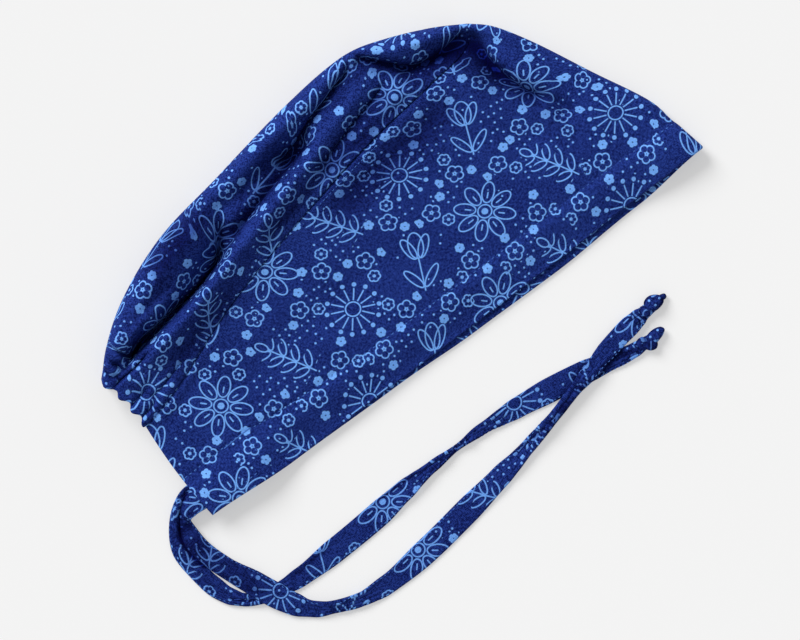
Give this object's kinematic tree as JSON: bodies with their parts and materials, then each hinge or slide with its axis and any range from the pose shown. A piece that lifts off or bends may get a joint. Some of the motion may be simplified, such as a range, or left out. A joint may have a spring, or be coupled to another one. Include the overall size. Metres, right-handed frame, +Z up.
{
  "type": "surgical scrub cap",
  "caption": "Cotton scrub cap lying flat on its side, with a folded side band, a crown panel gathered at the nape and two knotted ties.",
  "frame": {"origin": "middle of the folded hem, on the surface that the cap lies on", "axes": "+X along the hem from the nape to the forehead, +Y from the hem towards the crown, +Z up off the surface"},
  "size_m": [0.2944, 0.2024, 0.0196],
  "materials": {
    "crown_cotton": "matt printed plain-weave cotton",
    "band_cotton": "matt printed plain-weave cotton",
    "tie_cotton": "matt printed plain-weave cotton, folded and pressed"
  },
  "bodies": {
    "root": {"crown_panel": "crown_cotton", "side_band": "band_cotton", "tie_near": "tie_cotton", "tie_far": "tie_cotton"}
  },
  "joints": []
}
